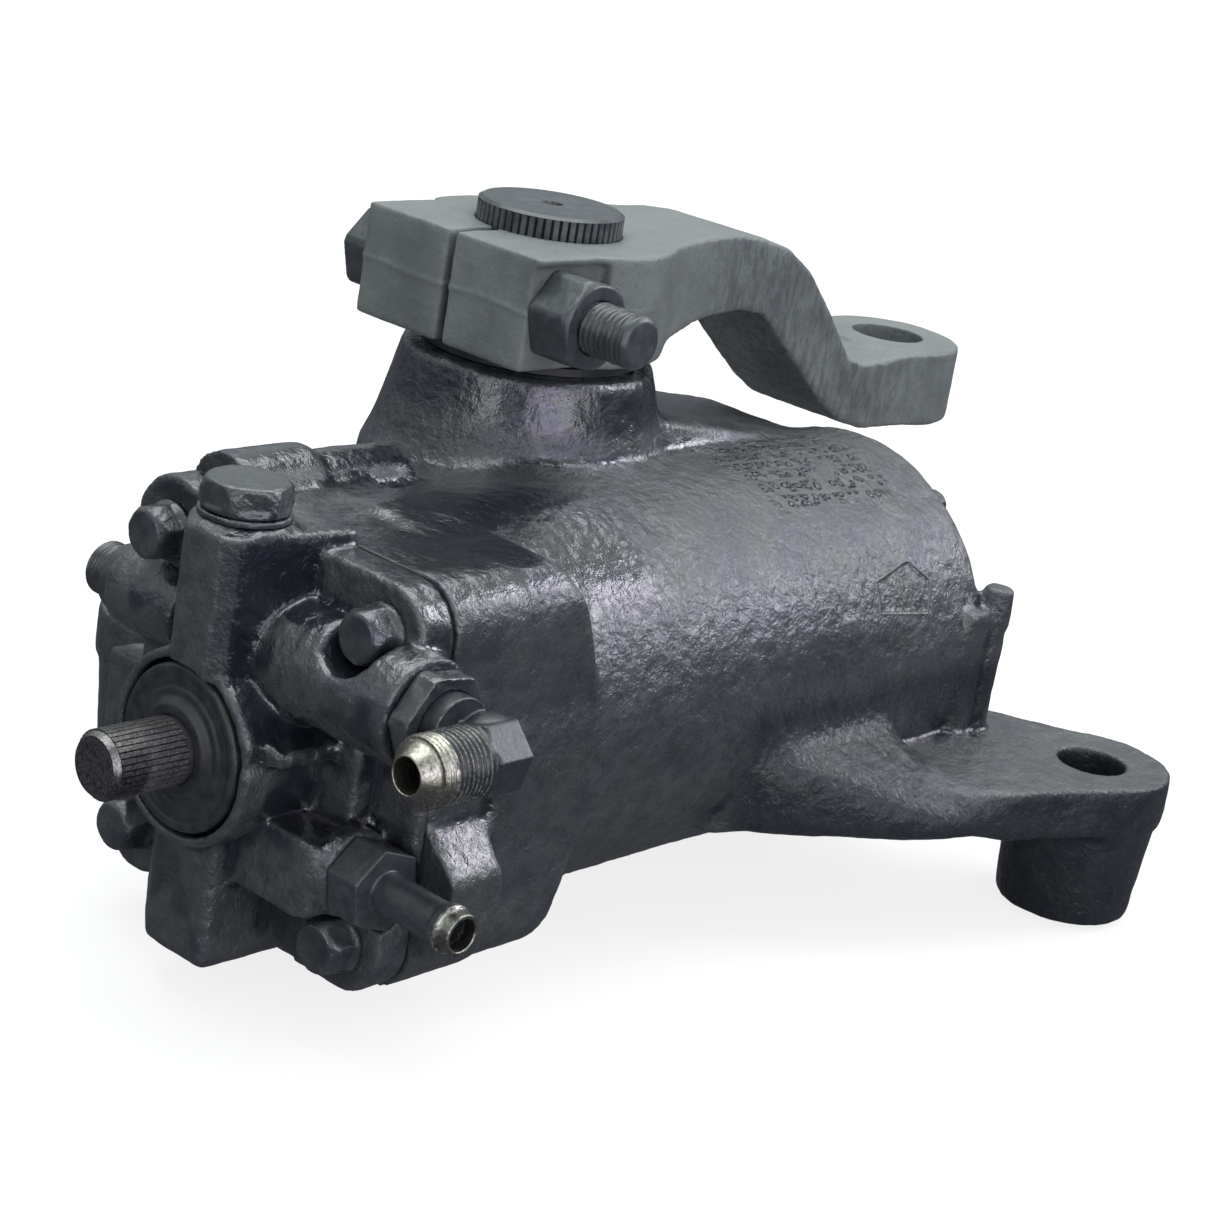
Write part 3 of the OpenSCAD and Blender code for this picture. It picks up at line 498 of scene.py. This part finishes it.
MAT = {
    "black_enamel": enamel("enamel_on_casting"),
    "fastener_enamel": enamel("enamel_on_fastener", grain=0.55),
    "case_enamel": enamel("enamel_on_case", marks=True),
    "painted_steel": painted_steel("enamel_on_steel"),
    "forged_arm": satin_forging("satin_paint_on_forging"),
    "dark_fastener": painted_steel("satin_on_fastener", base=(0.024, 0.028, 0.032), rough=0.34, chip=(0.12, 0.12, 0.115), amount=0.35),
    "fitting_steel": steel("plated_fitting", rough=0.3),
    "seal_rubber": rubber("seal_rubber"),
    "copper_washer": steel("copper_washer", dark=(0.35, 0.2, 0.12), light=(0.55, 0.36, 0.24), rough=0.35),
    "ring_plastic": plastic("ring_plastic", (0.55, 0.53, 0.48), (0.7, 0.68, 0.63)),
    "gasket": plastic("gasket_fibre", (0.11, 0.09, 0.065), (0.19, 0.16, 0.12), 0.6),
    "shaft_steel": steel("oxidised_shaft", dark=(0.055, 0.05, 0.052), light=(0.15, 0.145, 0.15), rough=0.36, stain=(0.02, 0.018, 0.018), stains=0.6),
    "ground_steel": steel("ground_steel", dark=(0.4, 0.4, 0.41), light=(0.66, 0.66, 0.67), rough=0.24, axis="x"),
}


def tip_material(name, axis_i, edge_mm, sign, paint=(0.02, 0.022, 0.026), bare_dark=(0.26, 0.25, 0.22), bare_light=(0.55, 0.53, 0.46), width=1.2, worn=0.3):
    """Paint that stops near a fitting's end and leaves bare plated steel."""
    t = Nt(name)
    a = t.xyz(axis_i)
    mid = t.noise(3.0, 3, 0.6, seed=19)
    fine = t.noise(0.8, 3, 0.65, seed=20)
    lay = t.noise(0.9, 2, 0.6, seed=21)
    e = t.math("MULTIPLY", t.math("SUBTRACT", a, edge_mm / 1000), sign * 1000.0)
    e = t.math("ADD", e, t.math("MULTIPLY", t.math("SUBTRACT", mid, 0.5), 5.0))
    bare = t.ramp(t.math("MULTIPLY", e, 1 / width, clamp=True), [(0.25, 0.0), (0.75, 1.0)])
    scuff = t.math("MULTIPLY", t.ramp(t.geo.outputs["Pointiness"], [(0.52, 0.0), (0.58, 1.0)]), t.ramp(fine, [(0.45, 0.0), (0.6, 1.0)]))
    bare = t.math("MAXIMUM", bare, t.math("MULTIPLY", scuff, worn), clamp=True)
    pc = t.mix(t.ramp(mid, [(0.35, 0.0), (0.7, 1.0)]), paint, tuple(c * 1.8 for c in paint))
    bc = t.mix(t.ramp(lay, [(0.32, 0.0), (0.68, 1.0)]), bare_dark, bare_light)
    bc = t.mix(t.ramp(fine, [(0.56, 0.0), (0.7, 1.0)]), bc, (0.12, 0.105, 0.07))
    nrm = t.bump(fine, 0.1, 0.6)
    nrm = t.bump(mid, 0.3, 0.3, nrm)
    return t.set(Base_Color=t.mix(bare, pc, bc), Metallic=bare, Roughness=t.math("ADD", 0.24, t.math("MULTIPLY", fine, 0.22)), Normal=nrm, Specular_IOR_Level=0.6)


MAT["flare"] = tip_material("flare_plating", 0, -151.0, -1, worn=0.85, paint=(0.012, 0.014, 0.018))
MAT["tube"] = tip_material("tube_plating", 1, -81.5, -1, bare_dark=(0.2, 0.2, 0.18), bare_light=(0.42, 0.42, 0.38), worn=0.35)
MAT["input"] = tip_material("input_wear", 0, -172.0, -1, paint=(0.022, 0.019, 0.022), bare_dark=(0.10, 0.095, 0.10), bare_light=(0.34, 0.33, 0.34), width=9.0, worn=1.0)


def paint(ob, mat):
    ob.data.materials.clear()
    ob.data.materials.append(mat)


for n, ob in NODES.items():
    for i in range(len(ob.material_slots)):
        ob.material_slots[i].material = MAT[SLOT[n]]
    if not ob.material_slots:
        ob.data.materials.append(MAT[SLOT[n]])

# ------------------------------------------------------------------ castings
CV = 1.15


def house_keep(p):
    """Where the main casting stays crisp: the joint face and machined seats."""
    k = smooth01(p[:, 0], -121.2, -122.6)
    x, y, z = p.T
    for cx, cy in ((141.4, -97.6), (78, 131), (-52, 131)):
        r = np.hypot(x - cx, y - cy)
        k = np.maximum(k, (1 - smooth01(r, 12.5, 14.0)) * 0.9)
    return k


def ball(p, c, r0, r1):
    return 1 - smooth01(np.linalg.norm(p - np.array(c), axis=1), r0, r1)


def house_melt(p):
    """Where thick sand-cast fillets run: the tower's foot, the web, the near pad, the lug's root and flank."""
    x, y, z = p.T
    rt = np.hypot(x, y - SY)
    k = 0.85 * smooth01(z, 40, 48) * (1 - smooth01(z, 58, 66)) * (1 - smooth01(rt, 60, 72)) * smooth01(x, -90, -70)
    k = np.maximum(k, 0.3 * ball(p, (-106, -66, -28), 16, 26))
    k = np.maximum(k, 0.55 * smooth01(x, 5, 20) * (1 - smooth01(x, 112, 118)) * smooth01(z, 46, 52) * (1 - smooth01(y, 12, 26)))
    k = np.maximum(k, smooth01(x, -8, 6) * (1 - smooth01(x, 78, 92)) * (1 - smooth01(y, -60, -52)) * smooth01(z, -50, -42) * (1 - smooth01(z, 14, 24)))
    k = np.maximum(k, 0.4 * (1 - smooth01(np.abs(z + 22), 6, 12)) * smooth01(x, 80, 90) * (1 - smooth01(x, 114, 119)) * smooth01(y, -78, -66) * (y < 0))
    return k * (1 - house_keep(p)) * smooth01(x, -121, -116) * (1 - smooth01(x, 117, 120))


def pent_dist(p):
    """Signed distance in mm inside the five-sided pad on the cylinder, measured on the unrolled surface; positive inside."""
    def unroll(q):
        return np.stack([q[:, 0], 61.0 * np.arctan2(q[:, 2], -q[:, 1])], 1)
    u, c = unroll(p), unroll(PENT)
    m = c.mean(0)
    d = np.full(len(p), 1e9)
    for i in range(5):
        a, b = c[i], c[(i + 1) % 5]
        e = (b - a) / np.linalg.norm(b - a)
        nn = np.array([-e[1], e[0]])
        if nn @ (m - a) < 0:
            nn = -nn
        d = np.minimum(d, (u - a) @ nn)
    return np.where((p[:, 1] < 0) & (p[:, 2] > 0), d, -99.0)


def house_fn(p, n):
    x, y, z = p.T
    d = 0.34 * fbm(p, 24, 2, 3.1) + 0.24 * fbm(p, 7.5, 2, 9.7) + 0.15 * fbm(p, 3.2, 1, 5.5)
    # rough sand skin on the cylinder, calmer on flat walls
    rc = np.hypot(y, z)
    cyl = smooth01(x, -70, -50) * smooth01(rc, 57, 60) * (1 - smooth01(rc, 63, 66))
    d += cyl * 0.24 * fbm(p, 3.4, 1, 21.0)
    # rough patch with a torn skin on top of the cylinder
    top = smooth01(x, 40, 52) * (1 - smooth01(x, 96, 106)) * smooth01(z, 50, 56) * (1 - smooth01(y, 2, 8)) * smooth01(y, -34, -26)
    d += top * 0.55 * np.abs(fbm(p * np.array([1.0, 1.6, 1.0]), 4.2, 2, 33.0))
    # five-sided flat pad
    pd = pent_dist(p)
    near = cyl * (pd > -3)
    d = np.where(near > 0, d * (1 - 0.9 * smooth01(pd, -1.0, 0.6)) - 0.2 * smooth01(pd, -0.4, 0.8), d)
    mach = house_keep(p)
    q = p + n * (d * (1 - mach))[:, None]
    return q


def house_gloss_and_sheen(p, n):
    """0 dry grey skin, 1 wet black. Where it follows which way a face turns, the dry grey is a painted sheen."""
    x, y, z = p.T
    g = 0.16 + 0.3 * fbm(p, 24, 2, 51.0)
    rt = np.hypot(x, y - SY)
    g = np.maximum(g, smooth01(z, 66, 74) * (rt < 50))                     # upper band of the tower
    g = np.maximum(g, 0.95 * (1 - smooth01(x, -40, -15)) * smooth01(n[:, 2], 0.5, 0.8))    # block top: wet black, without the painted grey sheen
    g = g - 0.75 * smooth01(n[:, 2], 0.55, 0.9) * smooth01(x, -10, 20) * (z < 64) * (y < 20)      # cylinder top is dry: painted grey sheen on the up-facing top
    # lower parts dry grey: painted fill light on the low side
    g = g - 0.55 * (1 - smooth01(z, -20, -2)) * (x > -60) * (x < 119)
    g = g - 0.5 * smooth01(z, 44, 50) * (1 - smooth01(z, 64, 68)) * (rt < 62) * (rt > 36)
    g = g + 0.3 * np.exp(-((z - 14) / 15) ** 2) * (y < -30) * smooth01(x, -95, -75) * (1 - smooth01(x, 40, 80))
    g = g - 0.5 * (x > 60) * (z > lug_z(p) - 4) * (z < lug_z(p) + 3) * (y < -66)
    return np.clip(g, 0, 1)


def house_painted_shade(p, n):
    """Painted shade on the lug's flank and side, where they turn away from the light: darker and duller there."""
    x, y, z = p.T
    return (1 - smooth01(y, -60, -54)) * smooth01(x, -4, 12) * (1 - smooth01(z, -2, 8)) * (1 - smooth01(n[:, 2], 0.86, 0.96))


def lug_z(p):
    return -21.75


housing = sculpt("housing_casting", "main_housing", CV, smooth=16, keep=house_keep, fn=house_fn,
                 melt=house_melt, melt_n=240, attrs={"gloss": house_gloss_and_sheen, "painted_shade": house_painted_shade})
paint(housing, MAT["case_enamel"])


def valve_keep(p):
    x, y, z = p.T
    r = np.hypot(y, z)
    return (1 - smooth01(r, 25.0, 26.2)) * smooth01(-x, 155.5, 156.5)


def valve_melt(p):
    """Fillets of the ports and columns."""
    x, y, z = p.T
    k = 0.5 * ball(p, (-150, -18, 20), 6, 14)
    k = np.maximum(k, 0.9 * smooth01(z, -66, -62) * (1 - smooth01(z, -56, -50)) * (np.abs(y) < 26) * (x < -124.5))
    k = np.maximum(k, 0.45 * ball(p, (-146, -34, 12), 7, 14))
    return k * (1 - smooth01(x, -126.0, -124.5)) * (1 - valve_keep(p)) * (1 - 0.9 * smooth01(z, 60.6, 62.4))


def valve_fn(p, n):
    x, y, z = p.T
    d = 0.36 * fbm(p, 18, 2, 4.4) + 0.26 * fbm(p, 6, 2, 8.2) + 0.14 * fbm(p, 2.8, 1, 1.5)
    nose = 1 - smooth01(np.hypot(y, z), 24.0, 26.5)
    d = d * (1 - nose * smooth01(-x, 150, 156))
    # the cast hollow with lumps beside the nose
    c = np.exp(-(((y + 30) / 11) ** 2 + ((z - 10) / 10) ** 2)) * smooth01(-x, 128, 134)
    d += c * 1.5 * fbm(p, 6.5, 2, 6.0)
    return p + n * d[:, None]


def valve_gloss_and_sheen(p, n):
    x, y, z = p.T
    g = smooth01(fbm(p, 16, 2, 61.0), 0.02, 0.28) * 0.9
    g = g - 0.35 * (1 - smooth01(z, -30, -16)) * (n[:, 2] < 0.4)
    g = np.maximum(g, (y < -8) * (z > 5) * (n[:, 0] > -0.6) * 0.95)       # side of the column, ports: wet black, painted shade on faces turned away from the front
    g = np.maximum(g, (y < -30) * (z < -4) * smooth01(n[:, 2], 0.3, 0.7))
    g = g - 0.5 * (n[:, 0] < -0.7) * (z > 20) * (np.abs(y) < 15)             # column front is dry: painted grey sheen on the front face
    return np.clip(g, 0, 1)


def valve_painted_shade(p, n):
    """The column's flank lies in its own shade under thick black paint."""
    x, y, z = p.T
    return 0.9 * (x < -126) * smooth01(z, 18, 24) * smooth01(-n[:, 1], 0.55, 0.8) * smooth01(y, -30, -24)


valve = sculpt("valve_casting", "valve_housing", 0.9, smooth=11, keep=valve_keep, fn=valve_fn,
               melt=valve_melt, melt_n=40, attrs={"gloss": valve_gloss_and_sheen, "painted_shade": valve_painted_shade})
paint(valve, MAT["black_enamel"])


def arm_keep(p):
    x, y, z = p.T
    k = 1 - smooth01(np.hypot(x - 186.3, y - SY), 13.2, 14.2)
    k = np.maximum(k, (1 - smooth01(np.hypot(x, y - SY), 23.0, 24.0)) * 0.8)
    return k


def arm_fn(p, n):
    x, y, z = p.T
    d = 0.30 * fbm(p, 16, 2, 2.2) + 0.12 * fbm(p, 5, 2, 7.1)
    neck = smooth01(x, 60, 85) * (1 - smooth01(x, 160, 175))
    st = fbm(p * np.array([0.9, 1.0, 0.25]), 3.2, 2, 13.0)
    d += neck * 0.2 * st * (1 - smooth01(n[:, 2], 0.5, 0.9))
    # flash line left by the dies half way up the clamp
    w = 1 - smooth01(x, -12, 20)
    d += 0.45 * np.exp(-((z - 107.5 - 1.2 * fbm(p, 20, 1, 3)) / 0.9) ** 2) * w * (np.abs(n[:, 2]) < 0.6)
    return p + n * (d * (1 - arm_keep(p)))[:, None]


arm = sculpt("drop_arm_forging", "pitman_arm", 0.62, smooth=30, keep=arm_keep, fn=arm_fn)
paint(arm, MAT["forged_arm"])

# ------------------------------------------------------------------ fasteners and fittings
lumpy = lambda amp, size, seed: (lambda p, n: p + n * (amp * fbm(p, size, 2, seed))[:, None])

for node, name, vox, it, mat in (
    ("valve_housing_bolts", "flange_bolts_painted", 0.55, 5, "painted_steel"),
    ("hex_plug", "relief_plug_painted", 0.5, 6, "painted_steel"),
    ("elbow_locknut", "elbow_locknut_painted", 0.5, 5, "painted_steel"),
    ("adjuster_locknut", "adjuster_locknut_painted", 0.5, 4, "painted_steel"),
    ("side_cover_bolts", "side_cover_bolts_painted", 0.6, 4, "painted_steel"),
    ("rear_cover_bolts", "rear_cover_bolts_painted", 0.55, 4, "painted_steel"),
    ("plug_washer", "plug_washer_painted", 0.45, 4, "painted_steel"),
):
    ob = sculpt(name, node, vox, smooth=it, fn=lumpy(0.3, 4.2, 3.3), attrs={"gloss": lambda p, n: np.clip(0.35 + 0.9 * fbm(p, 9, 2, 71.0), 0, 1)})
    paint(ob, MAT["fastener_enamel"])

for node, name in (("side_cover", "side_cover_casting"), ("rear_cover", "rear_cover_casting")):
    ob = sculpt(name, node, 1.0, smooth=5, fn=lumpy(0.22, 9, 5.1))
    paint(ob, MAT["black_enamel"])

elz = 24.7


def flare_fn(p, n):
    x, y, z = p.T
    dy, dz = y + 82.5, z - elz
    rr = np.hypot(dy, dz)
    # the thread's crests run on to the wrench flats
    m = smooth01(-x, 139.6, 140.4) * (1 - smooth01(-x, 147.3, 147.9)) * (np.abs(rr - 9.1) < 0.35)
    k = 1 + m * (9.525 - rr) / np.maximum(rr, 1e-6)
    q = p.copy()
    q[:, 1] = -82.5 + dy * k
    q[:, 2] = elz + dz * k
    # keep the wrench flat that faces up and out plain
    over = (q[:, 2] - elz - (q[:, 1] + 82.5)) * 0.70711 - 9.0
    over = np.clip(over, 0, None) * (q[:, 0] > -138.2) * (q[:, 0] < -121)
    q[:, 1] += over * 0.70711
    q[:, 2] -= over * 0.70711
    return thread_cut(q, 0, (-82.5, elz), 9.525, 1.5875, 0.85, -157.2, -139.6)


ob = sculpt("pressure_elbow_threaded", "pressure_elbow", 0.34, smooth=3,
            fn=flare_fn)
paint(ob, MAT["flare"])
ob = sculpt("return_tube_fitting", "return_fitting", 0.36, smooth=4, fn=lumpy(0.06, 3, 2.0))
paint(ob, MAT["tube"])
ob = sculpt("side_port_threaded", "side_port_fitting", 0.34, smooth=2,
            fn=lambda p, n: thread_cut(p, 1, (-131, 22), 8, 1.5, 0.8, 64.8, 72.6))
paint(ob, MAT["painted_steel"])


def pinch_fn(p, n):
    q = thread_cut(p, 1, (-27.6, 107), 8, 2.0, 1.2, -20.5, 8)
    return q + n * (0.06 * fbm(p, 3, 2, 4.0))[:, None]


ob = sculpt("pinch_bolt_threaded", "pinch_bolt", 0.45, smooth=3, fn=pinch_fn)
paint(ob, MAT["dark_fastener"])
ob = sculpt("pinch_nut_painted", "pinch_nut", 0.5, smooth=6, fn=lumpy(0.12, 6, 1.0))
paint(ob, MAT["dark_fastener"])


def seal_fn(p, n):
    x, y, z = p.T
    r = np.hypot(y, z)
    d = np.cos((r - 18.6) * 2.1) * smooth01(r, 13.8, 15.5) * (1 - smooth01(r, 19.8, 20.6)) * (n[:, 0] < -0.5)
    q = p.copy()
    q[:, 0] -= d * 0.04
    return q


ob = sculpt("input_dust_seal_moulded", "dust_seal", 0.4, smooth=5, fn=seal_fn)
paint(ob, MAT["seal_rubber"])

for n, m in (("input_shaft", "input"), ("sector_shaft", "dark_fastener")):
    o = NODES[n]
    for i in range(len(o.material_slots)):
        o.material_slots[i].material = MAT[m]

# ------------------------------------------------------------------ stage, light, camera
sc = bpy.context.scene
sc.view_settings.view_transform = "Standard"
sc.view_settings.look = "None"
sc.view_settings.exposure = 0.0
sc.view_settings.gamma = 1.0

ft = Nt("pale_floor")
fn_ = ft.noise(60, 2, 0.5, seed=30)
ft.set(Base_Color=ft.mix(fn_, (0.66, 0.66, 0.67), (0.7, 0.7, 0.7)), Roughness=0.85, Specular_IOR_Level=0.1, Normal=ft.bump(ft.noise(8, 2, 0.5, seed=31), 0.3, 0.2))
glow = ft.node("ShaderNodeEmission", None, i0=(1, 1, 1, 1), i1=1.14)
seen = ft.t.nodes.new("ShaderNodeLightPath").outputs["Is Camera Ray"]
both = ft.t.nodes.new("ShaderNodeMixShader")
far = ft.node("ShaderNodeVectorMath", {"operation": "LENGTH"}, i0=ft.tc).outputs["Value"]
ft.put(both.inputs[0], ft.math("MULTIPLY", seen, ft.ramp(ft.math("MULTIPLY", far, 0.4, clamp=True), [(0.2, 0.72), (0.7, 1.0)])))
ft.t.links.new(ft.bs.outputs[0], both.inputs[1])
ft.t.links.new(glow.outputs[0], both.inputs[2])
ft.t.links.new(both.outputs[0], ft.out.inputs[0])
floor = mesh_object("floor", [(-40, -40, -0.0735), (40, -40, -0.0735), (40, 40, -0.0735), (-40, 40, -0.0735)], [(0, 1, 2, 3)])
floor.data.materials.append(ft.m)
floor.visible_glossy = False

w = bpy.data.worlds.new("studio")
sc.world = w
w.use_nodes = True
nt = w.node_tree
nt.nodes.clear()
wo = nt.nodes.new("ShaderNodeOutputWorld")
bg1 = nt.nodes.new("ShaderNodeBackground")
bg2 = nt.nodes.new("ShaderNodeBackground")
mx = nt.nodes.new("ShaderNodeMixShader")
lp = nt.nodes.new("ShaderNodeLightPath")
tcw = nt.nodes.new("ShaderNodeTexCoord")
sep = nt.nodes.new("ShaderNodeSeparateXYZ")
rmp = nt.nodes.new("ShaderNodeValToRGB")
mr = nt.nodes.new("ShaderNodeMapRange")
nt.links.new(tcw.outputs["Generated"], sep.inputs[0])
nt.links.new(sep.outputs[2], mr.inputs[0])
mr.inputs[1].default_value = -1
mr.inputs[2].default_value = 1
nt.links.new(mr.outputs[0], rmp.inputs[0])
el = rmp.color_ramp.elements
el[0].position = 0.0; el[0].color = (0.08, 0.08, 0.09, 1)
el[1].position = 1.0; el[1].color = (0.55, 0.6, 0.58, 1)
for pos, c in ((0.47, (0.10, 0.105, 0.125)), (0.55, (0.22, 0.23, 0.29)), (0.64, (0.55, 0.6, 0.6))):
    e = el.new(pos)
    e.color = (*c, 1)
nt.links.new(rmp.outputs[0], bg1.inputs[0])
bg1.inputs[1].default_value = 1.0
bg2.inputs[0].default_value = (1, 1, 1, 1)
bg2.inputs[1].default_value = 1.0
nt.links.new(lp.outputs["Is Camera Ray"], mx.inputs[0])
nt.links.new(bg1.outputs[0], mx.inputs[1])
nt.links.new(bg2.outputs[0], mx.inputs[2])
nt.links.new(mx.outputs[0], wo.inputs[0])


def area(name, loc, target, sx, sy, power, color=(1, 1, 1)):
    l = bpy.data.lights.new(name, "AREA")
    l.shape = "RECTANGLE"
    l.size, l.size_y, l.energy, l.color = sx, sy, power, color
    o = bpy.data.objects.new(name, l)
    o.location = loc
    o.rotation_euler = (Vector(target) - Vector(loc)).to_track_quat("-Z", "Y").to_euler()
    sc.collection.objects.link(o)
    return o


area("overhead", (0.25, 0.15, 1.25), (0.176, 0, 0), 1.5, 1.1, 19, (0.96, 1.0, 0.99))
area("back_right", (1.45, -0.72, 0.95), (0.176, 0, 0.02), 0.9, 0.6, 13, (0.92, 0.90, 1.0))
area("side_soft", (-0.32, -1.5, 0.75), (0.176, 0, 0), 1.2, 0.4, 6, (0.84, 0.81, 1.0))
area("front_strip", (-1.32, -0.3, 0.5), (0.076, 0, 0), 0.5, 0.9, 3, (0.95, 0.97, 1.0))
area("low_fill", (-0.25, -1.3, 0.12), (0.176, 0, 0.0), 1.4, 0.3, 4.6, (0.98, 0.98, 1.0))

az, elv, roll = math.radians(-50.40), math.radians(18.29), math.radians(9.61)
back = Vector((math.sin(az) * math.cos(elv), -math.cos(az) * math.cos(elv), math.sin(elv)))
fwd = -back
right = Vector((math.cos(az), math.sin(az), 0))
up = right.cross(fwd)
r2 = math.cos(roll) * right + math.sin(roll) * up
u2 = -math.sin(roll) * right + math.cos(roll) * up
cam = bpy.data.cameras.new("camera")
cam.lens = 80.24
cam.sensor_width = 36
cam.clip_end = 100
co = bpy.data.objects.new("camera", cam)
co.matrix_world = Matrix(((r2.x, u2.x, back.x, -0.59972 + SHX / 1000), (r2.y, u2.y, back.y, -0.49858), (r2.z, u2.z, back.z, 0.27495), (0, 0, 0, 1)))
sc.collection.objects.link(co)
sc.camera = co

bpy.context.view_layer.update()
